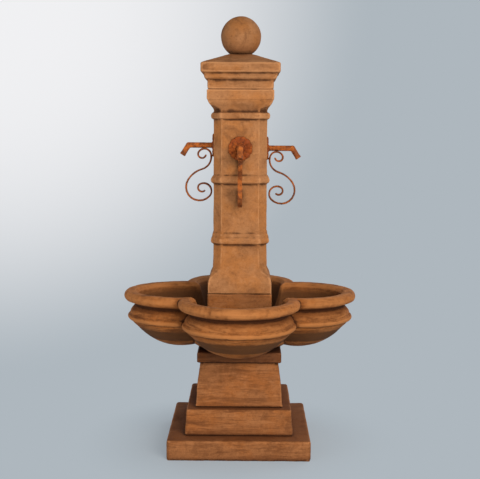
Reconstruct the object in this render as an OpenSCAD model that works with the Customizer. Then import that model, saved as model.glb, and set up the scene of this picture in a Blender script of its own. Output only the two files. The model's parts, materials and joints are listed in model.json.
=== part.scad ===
// Courtyard drinking fountain in cast stone, with four iron spouts.
// Water goes round: basin, pump in the riser block, riser hose, manifold, spouts, basin.
// Millimetres, +Z up. The origin is under the middle of the base slab. The front faces -Y.

/* [Base and pedestal] */
// Width of the base slab
base_w = 596; // [560:1:620]
// Height of the base slab
base_h = 84; // [70:1:100]
// Width of the step block at its foot
step_w = 452; // [430:1:470]
// Height of the step block
step_h = 110; // [95:1:125]
// Width of the pedestal at its foot
pedestal_w = 361; // [350:1:370]
// Width of the pedestal at its top
pedestal_top_w = 328; // [310:1:340]
// Height of the pedestal
pedestal_h = 188.5; // [170:0.5:210]
// Width of the slab that caps the pedestal
slab_w = 354; // [342:1:360]
// Height of the slab that caps the pedestal
slab_h = 45; // [35:1:55]

/* [Basin] */
// Distance from the middle to the centre of each lobe
lobe_offset = 250; // [244:1:254]
// Radius of each lobe over the rim
lobe_r = 250; // [246:1:253]
// Width of the rim seen from above
rim_w = 60; // [52:1:64]
// Height of the basin
basin_h = 240.5; // [236:0.5:244]
// Thickness of the basin's floor
floor_t = 52.5; // [45:0.5:60]

/* [Riser block and column] */
// Width of the riser block
riser_w = 271; // [266:1:276]
// Height of the riser block above the basin's floor
riser_h = 189; // [180:1:200]
// Width of the column's foot block
foot_w = 267; // [260:1:270]
// Width of the column's shaft across its flats
shaft_w = 224; // [216:1:228]
// Leg of the chamfer on the shaft's corners
shaft_chamfer = 34; // [24:1:38]
// Height of the column up to the joint below its cap
column_h = 853; // [848:1:880]
// Width of the bore through the column
bore_w = 140; // [140:1:144]

/* [Cap and ball] */
// Width of the eaves
eaves_w = 328; // [318:1:338]
// Height of the cap from the joint to the flat under the ball
cap_h = 150.5; // [147:0.5:160]
// Diameter of the ball
ball_d = 170; // [155:1:180]

/* [Spouts] */
// Height of the spout pipes above the column's foot
spout_rise = 609.5; // [600:0.5:615]
// How much higher the left spout is set than the others
left_lift = 12; // [0:1:14]
// Distance from the column's middle to the bend in a spout
spout_reach = 221.5; // [210:0.5:235]
// Length of the spout below its bend
spout_drop = 49; // [40:1:60]
// Angle of the spout's mouth below level
spout_angle = 57.6; // [50:0.1:65]
// Outside diameter of the spout pipe
spout_d = 22; // [20:0.1:22]
// Diameter of the rosette over its petals
rosette_d = 101; // [94:1:110]
// Number of petals on a rosette
petals = 12; // [8:1:16]
// Width of the scroll's flat bar
bar_w = 18; // [12:1:22]
// Thickness of the scroll's flat bar
bar_t = 6.6; // [5:0.1:7]

/* [Valves and pump] */
// Length of a valve lever
lever_len = 30; // [24:1:32]
// Number of blades on the impeller
blades = 6; // [5:1:8]
// Width of the pump's motor housing
pump_w = 84; // [76:1:90]

/* [Hidden] */
$fn = 64;

stone = [0.66, 0.42, 0.25];
rust = [0.45, 0.22, 0.10];
brass = [0.70, 0.58, 0.30];
steel = [0.70, 0.70, 0.72];
black = [0.12, 0.12, 0.13];
grey = [0.35, 0.36, 0.38];
blue = [0.20, 0.35, 0.60];

// the side that each spout set faces, as an angle about Z from +X
front = -90;
right = 0;
back = 90;
left = 180;
sides = [front, right, back, left];
function lift(side) = side == left ? left_lift : 0;

arris = 2.5;                // small chamfer on the stone's edges
loose = 0.3;                // gap between pieces that move apart
reach = 600;                // longer than any piece is wide

// levels of the joints between the stones
step_z = base_h;
pedestal_z = step_z + step_h;
slab_z = pedestal_z + pedestal_h;
basin_z = slab_z + slab_h;
floor_z = basin_z + floor_t;
rim_z = basin_z + basin_h;
foot_z = floor_z + riser_h;
joint_z = foot_z + column_h;
cap_top = joint_z + cap_h;
spout_z = foot_z + spout_rise;

// points on an arc about (cx, cz) from angle a0 to a1
function arc(cx, cz, r, a0, a1, n = 8) =
    [for (i = [0:n]) let (a = a0 + (a1 - a0) * i / n) [cx + r * cos(a), cz + r * sin(a)]];

// points on a double curve from (x0, z0) to (x1, z1) that is upright at both ends
function ogee(x0, z0, x1, z1, n = 7) =
    [for (i = [0:n]) [x0 + (x1 - x0) * (1 - cos(180 * i / n)) / 2, z0 + (z1 - z0) * i / n]];

// turned to a side, and the same at the height of that side's spout
module facing(side) {
    rotate([0, 0, side]) children();
}

module hung(side) {
    rotate([0, 0, side]) translate([0, 0, lift(side)]) children();
}

// ---------- square towers of mouldings ----------

// a profile of [half width, height] points, run through along Y on both sides of the middle
module side_prism(profile, turn) {
    n = len(profile);
    mirrored = [for (i = [n - 1:-1:0]) [-profile[i][0], profile[i][1]]];
    rotate([0, 0, turn]) rotate([90, 0, 0])
        linear_extrude(2 * reach, center = true) polygon(concat(profile, mirrored));
}

// a square tower with mitred mouldings and, where corner is given, shaped corners
module tower(profile, corner = []) {
    intersection() {
        side_prism(profile, 0);
        side_prism(profile, 90);
        if (len(corner) > 0) side_prism(corner, 45);
        if (len(corner) > 0) side_prism(corner, 135);
    }
}

// a profile's corner distances when every corner has a chamfer of this leg
function chamfered(profile, leg) = [for (p = profile) [(2 * p[0] - leg) / sqrt(2), p[1]]];

module square_bore(width, z0, z1) {
    translate([-width / 2, -width / 2, z0]) cube([width, width, z1 - z0]);
}

module rod(r, z0, z1) {
    translate([0, 0, z0]) cylinder(h = z1 - z0, r = r);
}

module ring(outer, inner, z0, z1) {
    difference() {
        rod(outer, z0, z1);
        rod(inner, z0 - 1, z1 + 1);
    }
}

// ---------- stones below the basin ----------

core_w = 120;               // square core through the pedestal
conduit_r = 30;             // hole for the conduit through the base slab
cable_w = 30;               // channel for the pump's cord under the slab
cable_h = 20;

module base_slab() {
    half = base_w / 2;
    profile = [
        [half - 4, 0], [half, 5], [half, base_h - 9], [half - 3, base_h - 3], [half - 9, base_h]
    ];
    corner_at = (base_w - 12) / sqrt(2);
    color(stone) difference() {
        tower(profile, [[corner_at, -1], [corner_at, base_h + 1]]);
        rod(conduit_r, -1, base_h + 1);
        translate([-cable_w / 2, 0, -1]) cube([cable_w, base_w, cable_h + 1]);
    }
}

module step_block() {
    half = step_w / 2;
    course = 39;            // height of the lower course, which stands a little proud
    proud = 3;
    top_half = half - 6.5;
    profile = [
        [half, step_z], [half - 1.5, step_z + course - 3], [half - proud, step_z + course],
        [top_half, pedestal_z - 5], [top_half - 5, pedestal_z]
    ];
    color(stone) difference() {
        tower(profile, chamfered(profile, 6));
        square_bore(core_w, step_z - 1, pedestal_z + 1);
    }
}

module pedestal() {
    half = pedestal_w / 2;
    top_half = pedestal_top_w / 2;
    toe_h = 12;
    toe = 3;
    waist_z = pedestal_z + 99;
    waist_half = half - 4.6;
    profile = [
        [half + toe, pedestal_z], [half + toe, pedestal_z + toe_h - 3], [half, pedestal_z + toe_h],
        [waist_half, waist_z], [top_half, slab_z]
    ];
    corner = [
        [1.5 * half, pedestal_z], [1.5 * half, waist_z - 12], [waist_half * sqrt(2) - 1, waist_z],
        [(2 * top_half - 17) / sqrt(2), slab_z]
    ];
    color(stone) difference() {
        tower(profile, corner);
        square_bore(core_w, pedestal_z - 1, slab_z + 1);
    }
}

module pedestal_cap() {
    half = slab_w / 2;
    profile = [
        [half - 3, slab_z], [half, slab_z + 4], [half, basin_z - 5], [half - 4, basin_z]
    ];
    color(stone) difference() {
        tower(profile, chamfered(profile, 6));
        rod(conduit_r, slab_z - 1, basin_z + 1);
    }
}

// ---------- basin ----------

stopper_r = 20;             // hole in the middle of the basin's floor

// outside of one lobe, from the middle of its underside up to the rim's inner edge
bowl_r = lobe_r;
bowl_cz = basin_z - 1.5 + bowl_r;
bead_r = 12;
bead_z = basin_z + 129;
bead_x = lobe_r - 27;
neck_r = lobe_r - 50;       // narrowest part, under the rim
nose_r = 22;                // rounded edge of the rim
nose_z = rim_z - nose_r;
hollow_r = lobe_r - rim_w;
rim_fall = 4;               // how far the rim's top slopes down to the inside
lobe_outside = concat(
    [[0, basin_z], [28, basin_z]],
    arc(3, bowl_cz, bowl_r, -82, -41, 9),
    [[bead_x - 5, bead_z - 19], [bead_x - 6.5, bead_z - 14]],
    arc(bead_x, bead_z, bead_r, -75, 60, 8),
    // a groove, then a sloping band up to the neck
    [[bead_x - 1, bead_z + 14.5], [bead_x + 2, bead_z + 17.5], [bead_x + 1, bead_z + 22]],
    [[bead_x - 5, bead_z + 32], [bead_x - 13, bead_z + 41], [neck_r + 2, bead_z + 48]],
    [[neck_r, bead_z + 52], [neck_r + 1, bead_z + 57], [neck_r + 6, bead_z + 61]],
    [[lobe_r - 30, bead_z + 64]],
    arc(lobe_r - nose_r, nose_z, nose_r, -50, 86, 9),
    [[hollow_r - 10, rim_z - rim_fall], [0, rim_z - rim_fall]]
);

// hollow of one lobe, with a bevelled lip
lip_w = 20;
bilge_r = 90;
hollow = concat(
    [[0, floor_z], [hollow_r - 16 - bilge_r, floor_z]],
    arc(hollow_r - 16 - bilge_r, floor_z + bilge_r, bilge_r, -80, 0, 8),
    [[hollow_r, rim_z - 15], [hollow_r + lip_w, rim_z - 15 + lip_w]],
    [[hollow_r + lip_w, rim_z + 20], [0, rim_z + 20]]
);

// the middle of the basin, inside and under it; it blunts the walls between the lobes
well_r = 230;
well = concat(
    [[0, floor_z], [well_r - 30, floor_z]],
    arc(well_r - 30, floor_z + 30, 30, -70, 0, 5),
    [[well_r + 2, floor_z + 80], [well_r + 18, rim_z - 60], [well_r + 32, rim_z - 15]],
    [[well_r + 72, rim_z + 20], [0, rim_z + 20]]
);
belly = concat(
    [[0, basin_z], [150, basin_z]],
    arc(155, basin_z + 90, 90, -75, 0, 7),
    [[245, basin_z + 150], [0, basin_z + 150]]
);

module revolve(profile) {
    rotate_extrude($fn = 96) polygon(profile);
}

module at_lobes() {
    for (turn = sides) rotate([0, 0, turn]) translate([lobe_offset, 0, 0]) children();
}

module basin() {
    color(stone) difference() {
        union() {
            at_lobes() revolve(lobe_outside);
            revolve(belly);
        }
        at_lobes() revolve(hollow);
        revolve(well);
        rod(stopper_r, basin_z - 1, floor_z + 1);
    }
}

module basin_stopper() {
    color(black) difference() {
        union() {
            rod(stopper_r - 0.1, floor_z - 28, floor_z);
            rod(stopper_r + 6, floor_z, floor_z + 4);
        }
        rod(4, floor_z - 30, floor_z + 6);
    }
}

// ---------- riser block ----------

cavity_w = 192;             // inside of the riser block
inlet_w = 70;
inlet_h = 46;
access_w = 120;
access_h = 112;
dowel_r = 6;
dowel_at = 113;

module riser_block() {
    half = riser_w / 2;
    profile = [
        [half, floor_z], [half, foot_z - arris], [half - arris, foot_z]
    ];
    color(stone) difference() {
        tower(profile, chamfered(profile, 5));
        square_bore(cavity_w, floor_z - 1, foot_z + 1);
        // water inlets at the front, right and left
        for (turn = [front, right, left]) rotate([0, 0, turn])
            translate([0, -inlet_w / 2, floor_z - 1]) cube([half + 1, inlet_w, inlet_h + 1]);
        // access to the pump at the back
        translate([-access_w / 2, 0, floor_z - 1]) cube([access_w, half + 1, access_h + 1]);
        dowel_holes(foot_z - 32, foot_z + 1);
    }
}

module at_dowels() {
    for (x = [-dowel_at, dowel_at], y = [-dowel_at, dowel_at]) translate([x, y, 0]) children();
}

module dowel_holes(z0, z1) {
    at_dowels() rod(dowel_r + 0.1, z0, z1);
}

module column_dowels() {
    color(steel) at_dowels() rod(dowel_r, foot_z - 31, foot_z + 31);
}

// grille across the access opening; it pulls out to the back
grille_t = 8;
grille_y = 118;
grille_lift = 1.5;          // gap under the grille, so that it clears the basin's floor
module intake_grille() {
    w = access_w - 2;
    h = access_h - 3;
    slots = 9;
    pitch = (w - 16) / slots;
    color(black) translate([0, grille_y, floor_z + grille_lift]) difference() {
        union() {
            translate([-w / 2, 0, 0]) cube([w, grille_t, h]);
            translate([-20, grille_t, h - 16]) cube([40, 8, 6]);
        }
        for (i = [0:slots - 1])
            translate([-w / 2 + 8 + (i + 0.5) * pitch - 3.5, -1, 10]) cube([7, grille_t + 2, h - 32]);
    }
}

// ---------- column ----------

foot_half = foot_w / 2;
shaft_half = shaft_w / 2;
drum_half = shaft_half + 2.5;   // the shaft is a little wider just above its foot
foot_block = 50;            // height of the foot's upright faces
flare_top = 107;            // where the foot's flare meets the shaft
cove_z = column_h - 88;     // foot of the hollow below the top band
band_z = column_h - 42;     // foot of the top band
band_half = shaft_half + 27;
shaft_corner = (2 * shaft_half - shaft_chamfer) / sqrt(2);

// a bead that stands proud of the shaft, with an upright fillet above it
function bead_band(z, bead, fillet) =
    concat(
        [[0, z]],
        [for (a = [-75:25:75]) [5 + 6.5 * cos(a), z + bead / 2 + bead / 2 * sin(a)]],
        fillet > 0 ? [[5, z + bead + 2.5], [5, z + bead + fillet - 4], [0, z + bead + fillet]]
            : [[0, z + bead]]
    );

// how far the bands stand out, from the foot to the top
bands = concat(
    bead_band(209, 25, 19),
    bead_band(464, 25, 8),
    bead_band(732, 26, 0)
);

column_profile = concat(
    [[foot_half - arris, 0], [foot_half, arris], [foot_half, foot_block - 2]],
    ogee(foot_half - 1.5, foot_block, drum_half, flare_top, 6),
    [for (b = bands) [shaft_half + b[0], b[1]]],
    ogee(shaft_half, cove_z, band_half - 3.5, band_z),
    [[band_half, band_z + 2], [band_half, column_h - arris - 1], [band_half - arris - 1, column_h]]
);

// the same for the corners: square at the foot and the top, chamfered between
foot_corner = foot_half * sqrt(2);
band_corner = band_half * sqrt(2) + 3;
block_corner = (foot_w - 6) / sqrt(2);
drum_corner = (2 * drum_half - shaft_chamfer) / sqrt(2);
column_corner = concat(
    [[foot_corner + 3, -1], [foot_corner + 3, foot_block - 9], [block_corner, foot_block - 4]],
    ogee(block_corner, foot_block + 3, drum_corner, flare_top + 4, 6),
    [for (b = bands) [shaft_corner + b[0], b[1]]],
    ogee(shaft_corner, cove_z + 2, band_corner, band_z - 6),
    [[band_corner, column_h + 1]]
);

wall_hole_r = 12;

module column() {
    color(stone) difference() {
        translate([0, 0, foot_z]) tower(column_profile, column_corner);
        square_bore(bore_w, foot_z - 1, joint_z + 1);
        square_bore(cavity_w - 16, foot_z - 1, foot_z + 44);
        for (turn = sides) hung(turn) translate([0, 0, spout_z])
            rotate([0, 90, 0]) cylinder(h = shaft_half + 1, r = wall_hole_r);
        dowel_holes(foot_z - 1, foot_z + 32);
    }
}

// ---------- cap and ball ----------

spigot_w = bore_w - 8;
spigot_h = 18;
pin_r = 7;
ball_r = ball_d / 2;
seat_r = 43.5;                // radius of the flat that the ball sits on
ball_z = cap_top + sqrt(ball_r * ball_r - seat_r * seat_r);

module column_cap() {
    half = eaves_w / 2;
    low = joint_z + loose;
    profile = concat(
        [[band_half - 6, low], [band_half - 2.5, low + 4], [band_half - 2.5, joint_z + 39.5]],
        // a moulding under the eaves
        [[band_half + 5, joint_z + 41.5], [band_half + 10.5, joint_z + 48], [half - 12.5, joint_z + 61]],
        [[half - 13.5, joint_z + 66], [half - 8, joint_z + 67.5]],
        arc(half - 6, joint_z + 74, 6, -70, 0, 4),
        [[half, cap_top - 45.5], [half - 4, cap_top - 41.5]],
        [[seat_r + 5, cap_top - 1], [seat_r + 1, cap_top]]
    );
    color(stone) difference() {
        union() {
            tower(profile, chamfered(profile, 5));
            square_bore(spigot_w, joint_z - spigot_h, low + 1);
        }
        square_bore(spigot_w - 30, joint_z - spigot_h - 1, joint_z + 62);
        rod(pin_r + 0.1, cap_top - 36, cap_top + 1);
    }
}

module ball_finial() {
    color(stone) difference() {
        translate([0, 0, ball_z]) sphere(ball_r, $fn = 96);
        rod(ball_r, cap_top - 40, cap_top);
        rod(pin_r + 0.1, cap_top - 1, cap_top + 36);
    }
}

module finial_dowel() {
    color(steel) rod(pin_r, cap_top - 35, cap_top + 35);
}

// ---------- spouts ----------
// each is drawn facing +X and turned to its side

spout_r = spout_d / 2;
pipe_bore = spout_r - 3.2;
tail_x = 50;                // inner end of the pipe
lip_h = 8;                  // thicker ring round the mouth
plate_t = 7;                // thickness of the petals
rosette_hole = spout_r + 0.3;

module along_x(r, x0, x1) {
    translate([x0, 0, spout_z]) rotate([0, 90, 0]) cylinder(h = x1 - x0, r = r);
}

module rosette() {
    petal_r = PI * rosette_d / petals / 2 * 0.92;
    petal_at = rosette_d / 2 - petal_r;
    color(rust) difference() {
        union() {
            translate([shaft_half, 0, spout_z]) rotate([0, 90, 0]) linear_extrude(plate_t) {
                circle(petal_at + 2);
                for (i = [0:petals - 1]) rotate(i * 360 / petals) translate([petal_at, 0]) circle(petal_r);
            }
            along_x(22, shaft_half + plate_t - 1, shaft_half + plate_t + 1.5);
            along_x(17, shaft_half + plate_t - 1, shaft_half + plate_t + 4);
        }
        along_x(rosette_hole, shaft_half - 1, shaft_half + plate_t + 6);
    }
}

// a pipe from the elbow inside the column, out to the bend and down to the mouth
module bent_pipe(r, knuckle, extra) {
    along_x(r, tail_x - extra, spout_reach);
    translate([spout_reach, 0, spout_z]) sphere(r + knuckle);
    down_spout() cylinder(h = spout_drop + extra, r = r);
}

module down_spout() {
    translate([spout_reach, 0, spout_z]) rotate([0, 90 + spout_angle, 0]) children();
}

module spout() {
    color(rust) difference() {
        union() {
            bent_pipe(spout_r, 0.6, 0);
            down_spout() translate([0, 0, spout_drop - lip_h]) cylinder(h = lip_h, r = spout_r + 0.8);
        }
        bent_pipe(pipe_bore, 0.4, 1);
    }
}

// the scroll's centre line is a chain of arcs: [radius, sweep], turning left when positive
scroll_start = [147.5, -41];
scroll_heading = -81.5;
scroll_arcs = [[17, 197], [28.5, 140], [54.5, 88], [-107, 42], [-58, 169], [-33.5, 160], [-17.5, 202]];
scroll_steps = 10;
rivet_drop = 45;            // how far the rivet is below the pipe

function sum_to(v, i) = i == 0 ? 0 : v[i - 1] + sum_to(v, i - 1);
scroll_turns = [for (s = scroll_arcs) s[0] > 0 ? s[1] : -s[1]];
function heading(i) = scroll_heading + sum_to(scroll_turns, i);
// centre of an arc that leaves a point at heading h, and a point on that arc
function left_of(h) = [-sin(h), cos(h)];
function knot(i) = i == 0 ? scroll_start :
    let (r = scroll_arcs[i - 1][0])
    knot(i - 1) + r * (left_of(heading(i - 1)) - left_of(heading(i)));
function on_arc(i, t, side) =
    let (r = scroll_arcs[i][0], h = heading(i) + t * scroll_turns[i])
    knot(i) + r * (left_of(heading(i)) - left_of(h)) + side * left_of(h);
function scroll_edge(side) =
    [for (i = [0:len(scroll_arcs) - 1], k = [(i == 0 ? 0 : 1):scroll_steps])
        on_arc(i, k / scroll_steps, side)];

module scroll() {
    inner = scroll_edge(bar_t / 2);
    outer = scroll_edge(-bar_t / 2);
    outline = concat(outer, [for (i = [len(inner) - 1:-1:0]) inner[i]]);
    color(rust) {
        translate([0, 0, spout_z]) rotate([90, 0, 0])
            linear_extrude(bar_w, center = true) polygon(outline);
        // rivet that holds the bar against the rosette
        translate([shaft_half + plate_t, 0, spout_z - rivet_drop]) rotate([0, 90, 0]) cylinder(h = 4, r = 3.5);
    }
}

washer_t = 3;
nut_t = 8;
inner_wall = bore_w / 2;

module spout_washers() {
    color(black) for (turn = sides) hung(turn) difference() {
        along_x(20, inner_wall - washer_t, inner_wall);
        along_x(spout_r + 0.2, inner_wall - washer_t - 1, inner_wall + 1);
    }
}

module spout_locknuts() {
    nut_x = inner_wall - washer_t;
    color(brass) for (turn = sides) hung(turn) difference() {
        translate([nut_x - nut_t, 0, spout_z]) rotate([0, 90, 0]) cylinder(h = nut_t, r = 19, $fn = 6);
        along_x(spout_r + 0.1, nut_x - nut_t - 1, nut_x + 1);
    }
}

// ---------- hoses, elbows and manifold ----------

hose_r = 9;
barb_r = 6.5;
water_r = 5;
elbow_x = 44;               // distance of the hoses from the middle
manifold_z = foot_z + 371;
manifold_h = 22;
manifold_r = 58;
valve_z = manifold_z + manifold_h + 16;
valve_top = valve_z + 16;

module spout_elbows() {
    color(brass) for (turn = sides) hung(turn) difference() {
        union() {
            along_x(14, elbow_x, inner_wall - washer_t - nut_t - 0.5);
            translate([elbow_x, 0, spout_z]) sphere(14);
            translate([elbow_x, 0, spout_z - 40]) cylinder(h = 40, r = barb_r);
        }
        along_x(spout_r + 0.1, tail_x, inner_wall);
        along_x(water_r, elbow_x, tail_x + 1);
        translate([elbow_x, 0, spout_z]) sphere(water_r);
        translate([elbow_x, 0, spout_z - 41]) cylinder(h = 41, r = water_r);
    }
}

module outlet_hose(side) {
    color(black) facing(side) translate([elbow_x, 0, 0])
        ring(hose_r, barb_r + 0.1, valve_top + 2, spout_z + lift(side) - 16);
}

module clamp(r, z) {
    ring(r + 1.6, r + 0.1, z, z + 8);
    translate([r + 1.5, -5, z]) cube([6, 10, 8]);
}

riser_r = 13;
riser_bore = 9.6;
riser_top = manifold_z - 2;

module hose_clamps() {
    color(steel) {
        for (turn = sides) rotate([0, 0, turn]) {
            translate([elbow_x, 0, 0]) rotate([0, 0, 90]) clamp(hose_r, valve_top + 12);
            translate([elbow_x, 0, 0]) rotate([0, 0, 90]) clamp(hose_r, spout_z + lift(turn) - 32);
        }
        clamp(riser_r, riser_top - 14);
        clamp(riser_r, outlet_z + 12);
    }
}

module manifold() {
    color(grey) difference() {
        union() {
            rod(manifold_r, manifold_z, manifold_z + manifold_h);
            rod(riser_bore - 0.1, manifold_z - 30, manifold_z + 1);
        }
        rod(6.5, manifold_z - 31, manifold_z + 8);
        // the chamber and its four ports
        rod(50, manifold_z + 7, manifold_z + 13);
        for (turn = sides) rotate([0, 0, turn]) translate([elbow_x, 0, 0])
            rod(water_r, manifold_z + 12, manifold_z + manifold_h + 1);
    }
}

module riser_hose() {
    color(black) ring(riser_r, riser_bore, outlet_z + 4, riser_top);
}

// ---------- balancing valves ----------
// each is drawn at +X, with its stem pointing outwards

valve_ball_r = 9;
stem_r = 3;
lever_x = elbow_x + 17;

module stem_bore(r, x0, x1) {
    translate([x0, 0, valve_z]) rotate([0, 90, 0]) cylinder(h = x1 - x0, r = r);
}

module valve_body() {
    color(grey) translate([elbow_x, 0, 0]) difference() {
        union() {
            rod(12.5, valve_z - 16, valve_top);
            rod(barb_r, valve_top, valve_top + 26);
            stem_bore(6, 0, 15);
        }
        translate([0, 0, valve_z]) sphere(valve_ball_r + 0.15);
        rod(water_r, valve_z - 17, valve_top + 27);
        stem_bore(stem_r + 0.05, 0, 16);
    }
}

module valve_ball() {
    color(steel) translate([elbow_x, 0, 0]) difference() {
        translate([0, 0, valve_z]) sphere(valve_ball_r);
        rod(water_r, valve_z - 10, valve_z + 10);
        stem_bore(stem_r + 1, valve_ball_r - 1, valve_ball_r + 1);
    }
}

module valve_lever() {
    color(blue) {
        stem_bore(stem_r, elbow_x + valve_ball_r - 1, lever_x + 3);
        difference() {
            union() {
                stem_bore(6, lever_x, lever_x + 3);
                translate([lever_x, -4, valve_z]) cube([3, 8, lever_len - 4]);
                translate([lever_x, 0, valve_z + lever_len - 4])
                    rotate([0, 90, 0]) cylinder(h = 3, r = 4);
            }
            stem_bore(stem_r - 1, lever_x - 1, lever_x + 4);
        }
    }
}

// ---------- pump ----------
// the rotor's axis runs along Y, and the outlet stands on the middle of the fountain

pump_z = floor_z + 50;
pump_half = pump_w / 2;
motor_y0 = 22;
motor_y1 = 88;
volute_y0 = -18;
well_end = 76;
rotor_r = 13;
outlet_z = pump_z + 60;

// along Y: r is the radius, y0 and y1 the ends
module along_y(r, y0, y1) {
    translate([0, y1, pump_z]) rotate([90, 0, 0]) cylinder(h = y1 - y0, r = r);
}

module pump_housing() {
    corner_r = 14;
    inset = pump_half - corner_r;
    color(black) difference() {
        translate([0, motor_y1, pump_z]) rotate([90, 0, 0]) linear_extrude(motor_y1 - motor_y0) {
            square([pump_w, 2 * inset], center = true);
            square([2 * inset, pump_w], center = true);
            for (x = [-inset, inset], z = [-inset, inset]) translate([x, z]) circle(corner_r);
        }
        along_y(rotor_r + 1, motor_y0 - 1, well_end);
        along_y(6.1, well_end, motor_y1 + 1);
    }
}

module pump_volute() {
    color(black) difference() {
        union() {
            along_y(36, volute_y0, motor_y0);
            rod(12, pump_z, outlet_z);
        }
        along_y(27, volute_y0 + 4, motor_y0 + 1);
        along_y(12, volute_y0 - 1, volute_y0 + 5);
        rod(8, pump_z + 20, outlet_z + 1);
    }
}

module impeller() {
    color(blue) difference() {
        union() {
            along_y(rotor_r, motor_y0 + 2, well_end - 4);
            along_y(9, volute_y0 + 10, motor_y0 + 3);
            for (i = [0:blades - 1]) translate([0, 0, pump_z]) rotate([0, i * 360 / blades, 0])
                translate([6, volute_y0 + 10, -1.5]) cube([18, 22, 3]);
        }
        along_y(2.05, volute_y0, well_end);
    }
}

module rotor_shaft() {
    color(steel) along_y(2, volute_y0 + 6, well_end);
}

screen_y = -58;
screen_r = 36;
module intake_screen() {
    bars = 20;
    color(black) difference() {
        along_y(screen_r, screen_y, volute_y0);
        along_y(screen_r - 3, screen_y + 3, volute_y0 + 1);
        along_y(4.1, screen_y - 1, screen_y + 4);
        for (i = [0:bars - 1]) translate([0, 0, pump_z]) rotate([0, i * 360 / bars, 0])
            translate([screen_r - 5, screen_y + 8, -2]) cube([8, 24, 4]);
    }
}

module flow_knob() {
    color(blue) difference() {
        union() {
            along_y(13, screen_y - 10, screen_y - loose);
            along_y(4, screen_y - 1, screen_y + 8);
            along_y(9, screen_y + 3 + loose, screen_y + 8);
        }
        for (turn = [0:45:315]) translate([0, 0, pump_z]) rotate([0, turn, 0])
            translate([13.4, screen_y - 11, -1.5]) cube([3, 8, 3]);
    }
}

module outlet_barb() {
    color(black) difference() {
        union() {
            rod(14, outlet_z, outlet_z + 4);
            rod(riser_bore - 0.1, outlet_z + 4, outlet_z + 36);
        }
        rod(6.5, outlet_z - 1, outlet_z + 37);
    }
}

module pump_feet() {
    foot_x = pump_half - 12;
    color(grey) for (x = [-foot_x, foot_x], y = [motor_y0 + 12, motor_y1 - 12])
        translate([x, y, floor_z]) cylinder(h = pump_z - pump_half - floor_z, r1 = 11, r2 = 7);
}

module cord_gland() {
    color(black) difference() {
        union() {
            along_y(6, motor_y1 - 8, motor_y1);
            along_y(9, motor_y1, motor_y1 + 6);
        }
        along_y(3.6, motor_y1 - 9, motor_y1 + 7);
    }
}

// ---------- the pieces ----------

base_slab();
step_block();
pedestal();
pedestal_cap();
basin();
riser_block();
column();
column_cap();
ball_finial();
finial_dowel();
column_dowels();
hung(front) rosette();  // rosette_front
hung(right) rosette();  // rosette_right
hung(back) rosette();  // rosette_back
hung(left) rosette();  // rosette_left
hung(front) spout();  // spout_front
hung(right) spout();  // spout_right
hung(back) spout();  // spout_back
hung(left) spout();  // spout_left
hung(front) scroll();  // scroll_front
hung(right) scroll();  // scroll_right
hung(back) scroll();  // scroll_back
hung(left) scroll();  // scroll_left
spout_washers();
spout_locknuts();
spout_elbows();
outlet_hose(front);  // hose_front
outlet_hose(right);  // hose_right
outlet_hose(back);  // hose_back
outlet_hose(left);  // hose_left
hose_clamps();
manifold();
riser_hose();
facing(front) valve_body();  // valve_body_front
facing(right) valve_body();  // valve_body_right
facing(back) valve_body();  // valve_body_back
facing(left) valve_body();  // valve_body_left
facing(front) valve_ball();  // valve_ball_front
facing(right) valve_ball();  // valve_ball_right
facing(back) valve_ball();  // valve_ball_back
facing(left) valve_ball();  // valve_ball_left
facing(front) valve_lever();  // valve_lever_front
facing(right) valve_lever();  // valve_lever_right
facing(back) valve_lever();  // valve_lever_back
facing(left) valve_lever();  // valve_lever_left
pump_housing();
pump_volute();
impeller();
rotor_shaft();
intake_screen();
flow_knob();
outlet_barb();
pump_feet();
cord_gland();
intake_grille();
basin_stopper();
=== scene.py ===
import json
import math

import bmesh
import bpy
import numpy as np
from mathutils import Matrix, Vector, noise


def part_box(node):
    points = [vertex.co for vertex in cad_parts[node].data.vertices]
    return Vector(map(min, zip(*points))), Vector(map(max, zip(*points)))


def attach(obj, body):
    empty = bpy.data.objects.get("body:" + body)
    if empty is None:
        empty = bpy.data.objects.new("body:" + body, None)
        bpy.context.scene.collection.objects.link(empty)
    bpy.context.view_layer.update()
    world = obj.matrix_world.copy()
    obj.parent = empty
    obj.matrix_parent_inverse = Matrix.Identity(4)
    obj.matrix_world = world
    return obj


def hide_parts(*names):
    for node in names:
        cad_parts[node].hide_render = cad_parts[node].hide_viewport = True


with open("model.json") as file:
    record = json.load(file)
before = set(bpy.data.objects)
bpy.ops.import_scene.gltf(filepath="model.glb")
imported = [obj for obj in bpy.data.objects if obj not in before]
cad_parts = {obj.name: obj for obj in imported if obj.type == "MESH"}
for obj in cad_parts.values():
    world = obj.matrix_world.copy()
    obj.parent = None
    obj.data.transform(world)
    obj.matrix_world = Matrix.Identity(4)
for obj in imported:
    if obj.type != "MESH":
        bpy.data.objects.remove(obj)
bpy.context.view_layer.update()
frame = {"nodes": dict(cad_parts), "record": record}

# A cast-stone courtyard fountain with iron spouts. The stones and the iron are rebuilt from
# their CAD solids as worn castings and forgings, and the works inside keep their CAD meshes.

record = frame["record"]
SIDES = ("front", "right", "back", "left")
TURN = {"front": -90, "right": 0, "back": 90, "left": 180}   # degrees about Z, from +X
BODY_OF = {node: body for body, nodes in record["behaviour"]["bodies"].items() for node in nodes}
SLOT_OF = {part["node"]: part["material_slot"] for part in record["subparts"]}


def show(piece):
    bpy.context.scene.collection.objects.link(piece)


# ---------- materials ----------

def linear(r, g, b):
    """A colour given as 0 to 255 in sRGB, as linear values."""
    def one(v):
        v /= 255
        return v / 12.92 if v <= 0.04045 else ((v + 0.055) / 1.055) ** 2.4
    return (one(r), one(g), one(b), 1.0)


def tinted(colour, *factors):
    """A linear colour without its alpha, each channel times its factor, or all times the one."""
    factors = factors * 3 if len(factors) == 1 else factors
    return tuple(v * k for v, k in zip(colour, factors))


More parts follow.
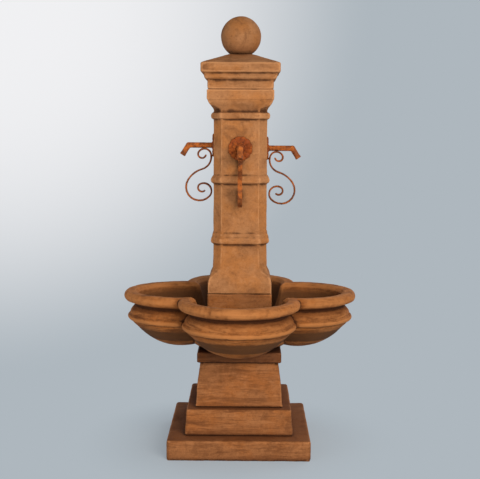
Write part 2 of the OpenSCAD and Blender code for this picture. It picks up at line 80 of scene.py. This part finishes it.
class Look:
    """A node material, with short methods that each add one node and return its output."""

    def __init__(self, name, roughness=0.8, metallic=0.0, specular=0.5):
        self.material = bpy.data.materials.new(name)
        self.material.use_nodes = True
        self.tree = self.material.node_tree
        self.shader = self.tree.nodes["Principled BSDF"]
        self.shader.inputs["Roughness"].default_value = roughness
        self.shader.inputs["Metallic"].default_value = metallic
        self.shader.inputs["Specular IOR Level"].default_value = specular
        self.place = self.add("ShaderNodeTexCoord").outputs["Object"]

    def add(self, kind, **settings):
        made = self.tree.nodes.new(kind)
        for key, value in settings.items():
            setattr(made, key, value)
        return made

    def put(self, socket, value):
        if isinstance(value, bpy.types.NodeSocket):
            self.tree.links.new(value, socket)
        else:
            socket.default_value = value

    def shifted(self, scale=(1, 1, 1), offset=(0, 0, 0)):
        mapping = self.add("ShaderNodeMapping")
        self.put(mapping.inputs["Vector"], self.place)
        mapping.inputs["Scale"].default_value = scale
        mapping.inputs["Location"].default_value = offset
        return mapping.outputs["Vector"]

    def noise(self, size, detail=4.0, rough=0.55, vector=None, distortion=0.0):
        """Noise whose features are about size metres across."""
        made = self.add("ShaderNodeTexNoise")
        self.put(made.inputs["Vector"], vector or self.place)
        made.inputs["Scale"].default_value = 1 / size
        made.inputs["Detail"].default_value = detail
        made.inputs["Roughness"].default_value = rough
        made.inputs["Distortion"].default_value = distortion
        return made.outputs["Fac"]

    def pits(self, size, vector=None):
        made = self.add("ShaderNodeTexVoronoi", feature="F1")
        self.put(made.inputs["Vector"], vector or self.place)
        made.inputs["Scale"].default_value = 1 / size
        return made.outputs["Distance"]

    def span(self, value, low, high, to_low=0.0, to_high=1.0):
        """Maps low to high onto to_low to to_high, clamped and smoothed."""
        made = self.add("ShaderNodeMapRange", interpolation_type="SMOOTHSTEP")
        self.put(made.inputs["Value"], value)
        limits = {"From Min": low, "From Max": high, "To Min": to_low, "To Max": to_high}
        for key, number in limits.items():
            made.inputs[key].default_value = number
        return made.outputs["Result"]

    def sums(self, operation, a, b):
        made = self.add("ShaderNodeMath", operation=operation)
        self.put(made.inputs[0], a)
        self.put(made.inputs[1], b)
        return made.outputs[0]

    def mix(self, share, a, b):
        made = self.add("ShaderNodeMix", data_type="RGBA")
        self.put(made.inputs[0], share)
        self.put(made.inputs[6], a)
        self.put(made.inputs[7], b)
        return made.outputs[2]

    def edge(self):
        """About 0.5 on flat stretches, more on edges that stand out and less in hollows."""
        return self.add("ShaderNodeNewGeometry").outputs["Pointiness"]

    def hollow(self, distance):
        """1 in the open and 0 deep in a crevice, as seen within distance."""
        made = self.add("ShaderNodeAmbientOcclusion", samples=6)
        made.inputs["Distance"].default_value = distance
        return made.outputs["AO"]

    def upward(self):
        """1 where the surface faces up and 0 where it is upright."""
        facing = self.add("ShaderNodeSeparateXYZ")
        self.put(facing.inputs[0], self.add("ShaderNodeNewGeometry").outputs["True Normal"])
        return facing.outputs["Z"]

    def painted(self, name):
        return self.add("ShaderNodeAttribute", attribute_name=name).outputs["Fac"]

    def bump(self, height, distance, strength=1.0, under=None):
        made = self.add("ShaderNodeBump")
        made.inputs["Distance"].default_value = distance
        made.inputs["Strength"].default_value = strength
        self.put(made.inputs["Height"], height)
        if under is not None:
            self.put(made.inputs["Normal"], under)
        return made.outputs["Normal"]

    def finish(self, colour, roughness=None, normal=None):
        self.put(self.shader.inputs["Base Color"], colour)
        if roughness is not None:
            self.put(self.shader.inputs["Roughness"], roughness)
        if normal is not None:
            self.put(self.shader.inputs["Normal"], normal)
        return self.material


def stone(name, main, streaks, clouds, top_shade, offset, grime_and_shade=0.95):
    """Cast stone with a brown patina: mottled, with patina and painted shade in the crevices, painted
    shade on level tops and inside the basin, and paler worn edges that also carry painted highlights.
    streaks and clouds are how strongly the patina shows as level brushing and as patches; the next
    number is how strongly painted shade darkens level tops, and the last how strongly patina and
    painted shade darken the crevices."""
    look = Look(name, specular=0.14)
    place = look.shifted(offset=offset)
    other = look.shifted(offset=offset[::-1])
    # the pale colour also paints highlights on edges that stand out, the two dark browns also paint
    # shade in crevices, hollows and on level tops, and the dark grey-brown paints shade inside the
    # basin
    pale_and_highlight = tuple(min(1.0, v) for v in tinted(main, 1.30, 1.36, 1.44)) + (1.0,)
    umber_and_shade = tinted(main, 0.42, 0.36, 0.32) + (1.0,)
    soot_and_shade = tinted(main, 0.13, 0.10, 0.09) + (1.0,)
    inside_shade = tinted(main, 0.26, 0.28, 0.34) + (1.0,)
    ochre = tinted(main, 1.04, 0.90, 0.66) + (1.0,)
    main = main + (1.0,)
    # broad clouds of ochre, with patches of pale and umber patina
    colour = look.mix(look.span(look.noise(0.15, 4, 0.6, place), 0.40, 0.62), main, ochre)
    colour = look.mix(look.span(look.noise(0.06, 7, 0.66, place, 0.5), 0.5, 0.74, 0, 0.7), colour, pale_and_highlight)
    patches = look.noise(0.09, 8, 0.7, other, 0.7)
    colour = look.mix(look.span(patches, 0.47, 0.70, 0, clouds), colour, umber_and_shade)
    blots = look.noise(0.024, 6, 0.68, other, 0.4)
    colour = look.mix(look.span(blots, 0.53, 0.74, 0, 0.5 * clouds), colour, umber_and_shade)
    # brushed streaks that run level round the stone and come and go along it
    brushed = look.noise(1.0, 6, 0.66, look.shifted((5, 5, 48), offset), 1.1)
    along = look.span(look.noise(0.11, 4, 0.6, place), 0.42, 0.60, 0.25, 1)
    dark = look.sums("MULTIPLY", look.span(brushed, 0.46, 0.62, 0, streaks), along)
    colour = look.mix(dark, colour, umber_and_shade)
    colour = look.mix(look.span(brushed, 0.36, 0.46, streaks * 0.6, 0), colour, pale_and_highlight)
    fine = look.noise(1.0, 5, 0.6, look.shifted((16, 16, 170), offset), 0.8)
    colour = look.mix(look.span(fine, 0.50, 0.66, 0, 0.7 * streaks), colour, umber_and_shade)
    # specks and sand grain
    specks = look.noise(0.010, 4, 0.72, other, 0.3)
    colour = look.mix(look.span(specks, 0.54, 0.68, 0, 0.45), colour, umber_and_shade)
    colour = look.mix(look.span(specks, 0.32, 0.44, 0.35, 0), colour, pale_and_highlight)
    grain = look.noise(0.0035, 3, 0.7, place)
    colour = look.mix(look.span(grain, 0.3, 0.7, 0.25, 0), colour, umber_and_shade)
    # patina and painted shade in the crevices and in the hollows of the mouldings, a dark line at the
    # lower joint, and worn edges that also carry painted highlights
    colour = look.mix(look.span(look.hollow(0.06), 0.45, 0.96, 0.7 * grime_and_shade, 0), colour, umber_and_shade)
    colour = look.mix(look.span(look.hollow(0.02), 0.42, 0.94, grime_and_shade, 0), colour, soot_and_shade)
    uneven = look.sums("MULTIPLY", look.sums("SUBTRACT", look.noise(0.02, 4, 0.6, place), 0.5), 0.3)
    ragged = look.sums("ADD", look.painted("relief"), uneven)
    # worn edges lightened, together with painted highlights on the beads and arrises that stand out
    colour = look.mix(look.span(ragged, 0.70, 1.0, 0, 0.65), colour, pale_and_highlight)
    # painted shade in the hollows of the mouldings, and a dark line along the lower joint
    colour = look.mix(look.span(ragged, 0.02, 0.40, 0.92, 0), colour, soot_and_shade)
    # painted shade on level tops, and painted shade inside the basin
    # painted shade: surfaces that face up are darkened towards umber
    colour = look.mix(look.span(look.upward(), 0.75, 0.97, 0, top_shade), colour, umber_and_shade)
    # painted shade: the inside of the basin is darkened towards a grey-brown
    colour = look.mix(look.sums("MULTIPLY", look.painted("well_shade"), 0.9), colour, inside_shade)
    pores = look.span(look.pits(0.009, place), 0.0, 0.35)
    normal = look.bump(pores, 0.0006, 0.5)
    normal = look.bump(look.noise(0.03, 6, 0.62, place), 0.004, 0.5, normal)
    normal = look.bump(grain, 0.0008, 0.6, normal)
    return look.finish(colour, look.span(grain, 0.3, 0.7, 0.78, 0.95), normal)


def rust(name, body, bloom_share):
    """Forged iron under rust: brown scale with an orange bloom, rubbed brighter on its edges, and
    painted shade in its crevices.
    """
    look = Look(name, specular=0.18)
    scale_and_shade_brown = linear(58, 31, 16)
    orange = linear(196, 106, 42)
    bloom = look.noise(0.035, 5, 0.6, distortion=0.5)
    colour = look.mix(look.span(bloom, 0.44, 0.64, 0, bloom_share), linear(*body), orange)
    colour = look.mix(look.span(look.noise(0.014, 5, 0.65), 0.50, 0.68, 0, 0.55), colour, scale_and_shade_brown)
    colour = look.mix(look.span(look.edge(), 0.53, 0.62, 0, 0.5), colour, orange)
    # painted shade: crevices darkened to the brown of the scale
    colour = look.mix(look.span(look.hollow(0.010), 0.3, 0.9, 0.8, 0), colour, scale_and_shade_brown)
    normal = look.bump(look.noise(0.008, 5, 0.6), 0.0010, 0.6)
    normal = look.bump(look.pits(0.004), 0.0003, 0.4, normal)
    return look.finish(colour, look.span(bloom, 0.35, 0.65, 0.6, 0.9), normal)


def plastic(name, colour, rough):
    """Moulded plastic: a fine spark-eroded texture, dust and rubbed edges."""
    look = Look(name, specular=0.45)
    base = linear(*colour)
    dusty = tuple(min(1.0, v * 1.5 + 0.02) for v in base[:3]) + (1.0,)
    tone = look.mix(look.span(look.noise(0.03, 5), 0.4, 0.7, 0, 0.5), base, dusty)
    tone = look.mix(look.span(look.edge(), 0.52, 0.6, 0, 0.5), tone, dusty)
    grain = look.noise(0.0009, 2)
    return look.finish(tone, look.span(look.noise(0.012, 4), 0.3, 0.7, rough, rough + 0.18),
                       look.bump(grain, 0.00015, 0.5))


def metal(name, colour, rough, tarnish):
    """Metal with fine turning marks and tarnish."""
    look = Look(name, metallic=1.0)
    base = linear(*colour)
    tone = look.mix(look.span(look.noise(0.02, 6, 0.65), 0.45, 0.68, 0, 0.7), base, linear(*tarnish))
    tone = look.mix(look.span(look.edge(), 0.52, 0.6, 0, 0.4), tone, linear(235, 232, 225))
    marks = look.noise(1.0, 3, 0.6, look.shifted((900, 900, 60)))
    return look.finish(tone, look.span(look.noise(0.01, 4), 0.3, 0.7, rough, rough + 0.2),
                       look.bump(marks, 0.0001, 0.5))


def rubber(name, colour, rib):
    """Rubber with a faint bloom and, where rib is given, fine ribs along its height."""
    look = Look(name, specular=0.35)
    base = linear(*colour)
    bloom = tuple(min(1.0, v * 1.8 + 0.03) for v in base[:3]) + (1.0,)
    tone = look.mix(look.span(look.noise(0.02, 6, 0.6), 0.45, 0.75, 0, 0.6), base, bloom)
    wave = look.add("ShaderNodeTexWave", wave_type="BANDS", bands_direction="Z")
    wave.inputs["Scale"].default_value = 1 / (rib * math.tau) if rib else 40
    look.put(wave.inputs["Vector"], look.place)
    normal = look.bump(wave.outputs["Fac"], 0.0006 if rib else 0.0001, 0.6)
    normal = look.bump(look.noise(0.002, 3), 0.0002, 0.6, normal)
    return look.finish(tone, look.span(look.noise(0.008, 4), 0.3, 0.7, 0.62, 0.85), normal)


TAN = linear(172, 117, 74)[:3]
BROWN = linear(151, 96, 56)[:3]
# a darker brown for the slab under the basin: painted shade, where the basin shadows it
SHADED_BROWN = tinted(linear(118, 72, 42), 0.8)
BOWL = tinted(linear(166, 104, 56), 0.90, 0.89, 0.86)
# material name, colour, streaks, clouds, painted shade on level tops and offset of the patterns
STONES = {
    "base_slab": stone("stone_base", BROWN, 0.85, 0.75, 0.6, (0.3, 1.1, 0.2)),
    "step_block": stone("stone_step", BROWN, 0.85, 0.75, 0.7, (1.7, 0.4, 0.9)),
    "pedestal": stone("stone_pedestal", BROWN, 0.75, 0.65, 0.3, (2.6, 0.8, 1.4)),
    "pedestal_cap": stone("stone_slab", SHADED_BROWN, 0.6, 0.7, 0.5, (0.9, 2.3, 0.5)),
    "basin": stone("stone_basin", BOWL, 1.0, 0.8, 0.0, (3.1, 1.9, 2.2)),
    "riser_block": stone("stone_riser", BROWN, 0.4, 0.6, 0.3, (1.2, 3.7, 0.1)),
    "column": stone("stone_column", tinted(TAN, 0.95), 0.15, 0.7, 0.2, (4.4, 0.6, 3.3)),
    "column_cap": stone("stone_cap", tinted(TAN, 0.88), 0.45, 0.8, 0.1, (0.2, 4.8, 1.6)),
    "ball_finial": stone("stone_ball", tinted(TAN, 0.78), 0.15, 0.9, 0.0, (5.2, 2.9, 0.7), 0.35),
}
IRON = {
    "spout": rust("spout_iron", (124, 64, 28), 0.7),
    "scroll": rust("scroll_iron", (108, 57, 27), 0.55),
    "rosette": rust("rosette_iron", (130, 58, 16), 0.35),
}
INNER = {
    "brass": metal("brass_fitting", (176, 138, 72), 0.32, (110, 82, 40)),
    "steel": metal("stainless", (190, 190, 194), 0.28, (140, 138, 134)),
    "rubber": rubber("black_rubber", (36, 35, 34), 0),
    "hose": rubber("ribbed_hose", (42, 43, 46), 0.004),
    "grey_plastic": plastic("grey_plastic", (98, 100, 104), 0.45),
    "black_plastic": plastic("black_plastic", (38, 38, 41), 0.42),
    "lever_plastic": plastic("blue_plastic", (46, 88, 146), 0.38),
}


# ---------- worn castings from the CAD solids ----------

def vertex_rows(mesh, name):
    """The places (co) or normals (normal) of the vertices, as rows of three numbers."""
    rows = np.empty(len(mesh.vertices) * 3)
    mesh.vertices.foreach_get(name, rows)
    return rows.reshape(-1, 3)


def moved_by_noise(mesh, waves, swell):
    """Moves each vertex along its normal by noise; waves are (feature size, depth) in metres.
    swell is an even outward move that makes up for what smoothing takes off thin pieces."""
    places = vertex_rows(mesh, "co")
    normals = vertex_rows(mesh, "normal")
    depth = np.full(len(places), swell)
    for size, amount in waves:
        scaled = places / size
        depth += amount * np.array([noise.noise(p) for p in scaled.tolist()])
    mesh.vertices.foreach_set("co", (places + normals * depth[:, None]).ravel())
    mesh.update()


def keep_inside(mesh, node):
    """Holds the uneven surface within the outer size of the CAD solid."""
    low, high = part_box(node)
    held = np.clip(vertex_rows(mesh, "co"), tuple(low), tuple(high))
    mesh.vertices.foreach_set("co", held.ravel())
    mesh.update()


RELIEF_SPAN = 0.004          # metres of relief from full hollow to full edge
SEAM_FULL, SEAM_FADE = 0.003, 0.004       # metres above the lower joint
SEAM_SHARE = 0.9


def mark_relief(mesh, rounds, seam):
    """Stores 0.5 on flat stretches, more on edges that stand out and less in hollows and, with
    seam, along the lower joint. rounds is how often the surface is evened to tell them apart."""
    places = vertex_rows(mesh, "co")
    normals = vertex_rows(mesh, "normal")
    count = len(places)
    ends = np.empty(len(mesh.edges) * 2, dtype=np.int32)
    mesh.edges.foreach_get("vertices", ends)
    starts = np.concatenate((ends[::2], ends[1::2]))
    others = np.concatenate((ends[1::2], ends[::2]))
    near = np.maximum(np.bincount(starts, minlength=count), 1)
    even = places.copy()
    for _ in range(rounds):
        means = [np.bincount(starts, even[others, axis], count) / near for axis in range(3)]
        even = np.stack(means, 1)
    relief = 0.5 + ((places - even) * normals).sum(axis=1) / RELIEF_SPAN
    for _ in range(2):
        relief = 0.5 * relief + 0.5 * np.bincount(starts, relief[others], count) / near
    if seam:
        above = places[:, 2] - places[:, 2].min()
        relief -= SEAM_SHARE * np.clip(1 - (above - SEAM_FULL) / SEAM_FADE, 0, 1)
    marked = mesh.attributes.new("relief", "FLOAT", "POINT")
    marked.data.foreach_set("value", np.clip(relief, 0, 1))


def casting(node, voxel, smooth, thin, waves, material, swell=0.0):
    """A piece that stands for a CAD node: its solid with rounded, slightly uneven surfaces.
    voxel is the mesh size in metres, smooth the rounds of smoothing, thin the share of faces kept."""
    piece = bpy.data.objects.new("worn_" + node, frame["nodes"][node].data.copy())
    show(piece)
    remesh = piece.modifiers.new("remesh", "REMESH")
    remesh.mode = "VOXEL"
    remesh.voxel_size = voxel
    soften = piece.modifiers.new("soften", "SMOOTH")
    soften.factor = 0.5
    soften.iterations = smooth
    if thin < 1:
        fewer = piece.modifiers.new("fewer", "DECIMATE")
        fewer.ratio = thin
    shaped = piece.evaluated_get(bpy.context.evaluated_depsgraph_get())
    mesh = bpy.data.meshes.new_from_object(shaped)
    piece.modifiers.clear()
    piece.data = mesh
    moved_by_noise(mesh, waves, swell)
    mesh.polygons.foreach_set("use_smooth", [True] * len(mesh.polygons))
    mesh.materials.clear()
    mesh.materials.append(material)
    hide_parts(node)
    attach(piece, BODY_OF[node])
    return piece


LOBE_AT, WELL_R, MIDDLE_R = 0.5, 0.398, 0.43      # shares of the basin's reach from its middle
WELL_BLEND = 0.005           # metres over which the painted shade starts at the well's edge
UNSHADED_RIM, SHADE_FADE = 0.010, 0.035         # metres down from the rim
FLOOR_SLACK = 0.010          # metres below the well's floor that still count as inside


def paint_well_shade(piece):
    """Marks the inside of the basin, which painted shade darkens."""
    reach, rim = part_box("basin")[1].x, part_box("basin")[1].z
    well_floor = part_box("riser_block")[0].z
    lobe = reach * LOBE_AT
    middles = ((lobe, 0), (0, lobe), (-lobe, 0), (0, -lobe))
    values = []
    for vertex in piece.data.vertices:
        x, y, z = vertex.co
        near = min(math.hypot(x - a, y - b) for a, b in middles)
        inside = max(0.0, min(1.0, (reach * WELL_R - near) / WELL_BLEND))
        if math.hypot(x, y) < reach * MIDDLE_R:
            inside = 1.0
        depth = max(0.0, min(1.0, (rim - UNSHADED_RIM - z) / SHADE_FADE))
        values.append(inside * depth if z > well_floor - FLOOR_SLACK else 0.0)
    well_shade = piece.data.attributes.new("well_shade", "FLOAT", "POINT")
    well_shade.data.foreach_set("value", values)


STONE_WAVES = ((0.05, 0.0011), (0.015, 0.0006), (0.006, 0.00025))
# mesh size in metres, rounds of smoothing, share of the faces kept and rounds for the relief
PLAIN_STONE = (0.0042, 2, 0.55, 4)
MOULDED_STONES = {
    "column": (0.003, 1, 0.4, 12),
    "column_cap": (0.003, 1, 0.4, 12),
    "basin": (0.0036, 1, 0.4, 12),
}
NO_SEAM = ("base_slab", "basin", "ball_finial")
for stone_node, material in STONES.items():
    voxel, smooth, thin, rounds = MOULDED_STONES.get(stone_node, PLAIN_STONE)
    made = casting(stone_node, voxel, smooth, thin, STONE_WAVES, material)
    keep_inside(made.data, stone_node)
    mark_relief(made.data, rounds, stone_node not in NO_SEAM)
    if stone_node == "basin":
        paint_well_shade(made)

IRON_WAVES = ((0.03, 0.0006), (0.010, 0.0003))
for side in SIDES:
    casting("spout_" + side, 0.0013, 3, 1.0, IRON_WAVES, IRON["spout"], 0.0006)
    casting("scroll_" + side, 0.0016, 3, 0.7, IRON_WAVES, IRON["scroll"], 0.0005)


# ---------- rosettes ----------

PETALS = 12
AROUND, STEPS = PETALS * 14, 26           # faces round the plate and from its hole to its rim
PIPE_HOLE = 0.0113
RING_R = 0.42                # share of the radius where the dish ends and the petals begin
COLLAR_W, COLLAR_H = 0.003, 0.0105
SHOULDER_W, SHOULDER_H = 0.007, 0.0062
DISH_H, RING_H, RIM_H = 0.0040, 0.0075, 0.0022
PETAL_H, PETAL_CROWN = 0.0048, 0.0032
BEHIND = 0.0001              # gap to the stone


def plate_height(r, t, lobe):
    """Height above the stone at radius r; t runs from 0 to 1 along a petal and lobe is 1 in its
    middle and 0 where it meets the next."""
    if r < PIPE_HOLE + COLLAR_W:
        return COLLAR_H
    if r < PIPE_HOLE + SHOULDER_W:
        return SHOULDER_H
    if t < 0:
        return DISH_H
    if t < 0.1:
        return RING_H
    crown = PETAL_H + PETAL_CROWN * math.sin(math.pi * min(1, t) ** 1.3)
    return crown * (0.62 + 0.38 * lobe ** 0.8)


def rosette(side):
    """A forged flower plate: cupped petals round a dished middle, with a collar at the pipe."""
    node = "rosette_" + side
    low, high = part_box(node)
    middle = (low + high) / 2
    radius = (high.z - low.z) / 2
    across = "x" if side in ("right", "left") else "y"
    wall = min(abs(getattr(low, across)), abs(getattr(high, across)))
    ring = radius * RING_R
    bm = bmesh.new()
    front_face, back_face = [], []
    for i in range(AROUND):
        angle = math.tau * i / AROUND
        part = (angle * PETALS / math.tau) % 1 - 0.5           # -0.5 to 0.5 across a petal
        lobe = math.cos(math.pi * part)
        edge = radius * (0.925 + 0.075 * math.sqrt(max(0.0, lobe)))
        column_front, column_back = [], []
        for k in range(STEPS + 1):
            r = PIPE_HOLE + (edge - PIPE_HOLE) * k / STEPS
            height = RIM_H if k == STEPS else plate_height(r, (r - ring) / (edge - ring), lobe)
            y, z = r * math.cos(angle), r * math.sin(angle)
            height += 0.0004 * noise.noise(Vector((y * 90, z * 90, TURN[side])))
            column_front.append(bm.verts.new((wall + height, y, z)))
            if k in (0, STEPS):
                column_back.append(bm.verts.new((wall + BEHIND, y, z)))
        front_face.append(column_front)
        back_face.append(column_back)
    for i in range(AROUND):
        front, next_front = front_face[i], front_face[(i + 1) % AROUND]
        back, next_back = back_face[i], back_face[(i + 1) % AROUND]
        for k in range(STEPS):
            bm.faces.new((front[k], front[k + 1], next_front[k + 1], next_front[k]))
        bm.faces.new((front[STEPS], back[1], next_back[1], next_front[STEPS]))
        bm.faces.new((back[1], back[0], next_back[0], next_back[1]))
        bm.faces.new((back[0], front[0], next_front[0], next_back[0]))
    bmesh.ops.recalc_face_normals(bm, faces=bm.faces)
    mesh = bpy.data.meshes.new(node + "_petals")
    bm.to_mesh(mesh)
    bm.free()
    turn = Matrix.Rotation(math.radians(TURN[side]), 4, "Z")
    mesh.transform(Matrix.Translation((0, 0, middle.z)) @ turn)
    mesh.polygons.foreach_set("use_smooth", [True] * len(mesh.polygons))
    mesh.materials.append(IRON["rosette"])
    piece = bpy.data.objects.new("forged_" + node, mesh)
    show(piece)
    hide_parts(node)
    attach(piece, BODY_OF[node])


for side in SIDES:
    rosette(side)


# ---------- the works inside keep their CAD shapes ----------

REBUILT = set(STONES) | {kind + "_" + side for kind in ("rosette", "spout", "scroll") for side in SIDES}
for node, obj in frame["nodes"].items():
    if node not in REBUILT:
        obj.data.materials.clear()
        obj.data.materials.append(INNER[SLOT_OF[node]])


# ---------- stage, lights and camera ----------

BACK_GREY = linear(174, 183, 190)
BACK_PALE = linear(241, 241, 243)
VIEWPOINT = (0.036, -4.243, 1.357)        # a fixed point, where the camera stands
TILT, TURNED, ROLL = 6.34, 0.49, 0.28     # degrees the camera looks down, left and leans


def glow(tree, direction):
    """The backdrop's colour in a direction: blue-grey, with a pale glow up to the left."""
    towards = tree.nodes.new("ShaderNodeVectorMath")
    towards.operation = "DOT_PRODUCT"
    towards.inputs[1].default_value = Vector((-0.25, 0.96, 0.13)).normalized()
    tree.links.new(direction, towards.inputs[0])
    span = tree.nodes.new("ShaderNodeMapRange")
    span.interpolation_type = "SMOOTHSTEP"
    span.inputs["From Min"].default_value = 0.930
    span.inputs["From Max"].default_value = 1.004
    tree.links.new(towards.outputs["Value"], span.inputs["Value"])
    colour = tree.nodes.new("ShaderNodeMix")
    colour.data_type = "RGBA"
    colour.inputs[6].default_value = BACK_GREY
    colour.inputs[7].default_value = BACK_PALE
    tree.links.new(span.outputs["Result"], colour.inputs[0])
    return colour.outputs[2]


def sky():
    world = bpy.data.worlds.new("studio")
    bpy.context.scene.world = world
    world.use_nodes = True
    tree = world.node_tree
    place = tree.nodes.new("ShaderNodeTexCoord")
    tree.links.new(glow(tree, place.outputs["Generated"]), tree.nodes["Background"].inputs["Color"])
    tree.nodes["Background"].inputs["Strength"].default_value = 1.0


def floor():
    """A pale floor that catches a soft shadow near the object and fades into the backdrop."""
    bm = bmesh.new()
    bmesh.ops.create_circle(bm, cap_ends=True, segments=96, radius=60)
    mesh = bpy.data.meshes.new("floor")
    bm.to_mesh(mesh)
    bm.free()
    look = bpy.data.materials.new("pale_floor")
    look.use_nodes = True
    tree = look.node_tree
    shader = tree.nodes["Principled BSDF"]
    shader.inputs["Roughness"].default_value = 0.9
    shader.inputs["Base Color"].default_value = linear(176, 184, 191)
    place = tree.nodes.new("ShaderNodeTexCoord")
    away = tree.nodes.new("ShaderNodeVectorMath")
    away.operation = "LENGTH"
    tree.links.new(place.outputs["Object"], away.inputs[0])
    fade = tree.nodes.new("ShaderNodeMapRange")
    fade.interpolation_type = "SMOOTHSTEP"
    fade.inputs["From Min"].default_value = 0.33
    fade.inputs["From Max"].default_value = 0.75
    fade.inputs["To Min"].default_value = 0.5
    tree.links.new(away.outputs["Value"], fade.inputs["Value"])
    # the backdrop's colour is laid on the floor along the lines from one fixed point
    seen = tree.nodes.new("ShaderNodeVectorMath")
    seen.operation = "SUBTRACT"
    seen.inputs[1].default_value = VIEWPOINT
    tree.links.new(place.outputs["Object"], seen.inputs[0])
    unit = tree.nodes.new("ShaderNodeVectorMath")
    unit.operation = "NORMALIZE"
    tree.links.new(seen.outputs["Vector"], unit.inputs[0])
    lit = tree.nodes.new("ShaderNodeEmission")
    tree.links.new(glow(tree, unit.outputs["Vector"]), lit.inputs["Color"])
    both = tree.nodes.new("ShaderNodeMixShader")
    tree.links.new(fade.outputs["Result"], both.inputs[0])
    tree.links.new(shader.outputs[0], both.inputs[1])
    tree.links.new(lit.outputs[0], both.inputs[2])
    tree.links.new(both.outputs[0], tree.nodes["Material Output"].inputs["Surface"])
    mesh.materials.append(look)
    ground = bpy.data.objects.new("floor", mesh)
    show(ground)


def softbox(name, place, target, size, power, colour):
    lamp = bpy.data.lights.new(name, "AREA")
    lamp.shape = "RECTANGLE"
    lamp.size, lamp.size_y = size
    lamp.energy = power
    lamp.color = colour
    holder = bpy.data.objects.new(name, lamp)
    holder.location = place
    holder.rotation_mode = "QUATERNION"
    holder.rotation_quaternion = (Vector(target) - Vector(place)).to_track_quat("-Z", "Y")
    show(holder)


def camera():
    """A 74 mm lens, 4.24 m in front of the middle, looking down a little."""
    lens = bpy.data.cameras.new("camera")
    lens.lens = 74.2
    lens.sensor_width = 36
    holder = bpy.data.objects.new("camera", lens)
    turn = Matrix.Rotation(math.radians(TURNED), 4, "Z")
    tilt = Matrix.Rotation(math.radians(90 - TILT), 4, "X")
    roll = Matrix.Rotation(math.radians(ROLL), 4, "Z")
    holder.matrix_world = Matrix.Translation(VIEWPOINT) @ turn @ tilt @ roll
    show(holder)
    bpy.context.scene.camera = holder


sky()
floor()
softbox("key", (1.9, -4.1, 2.35), (0, 0, 0.95), (2.6, 2.6), 206, (1.0, 0.95, 0.87))
softbox("fill", (-3.0, -2.8, 0.45), (0, 0, 0.8), (2.4, 0.8), 48, (1.0, 0.96, 0.92))
softbox("rim", (2.2, 3.0, 2.8), (0, 0, 1.0), (1.6, 1.6), 30, (1.0, 1.0, 1.0))
camera()
bpy.context.scene.view_settings.view_transform = "Standard"
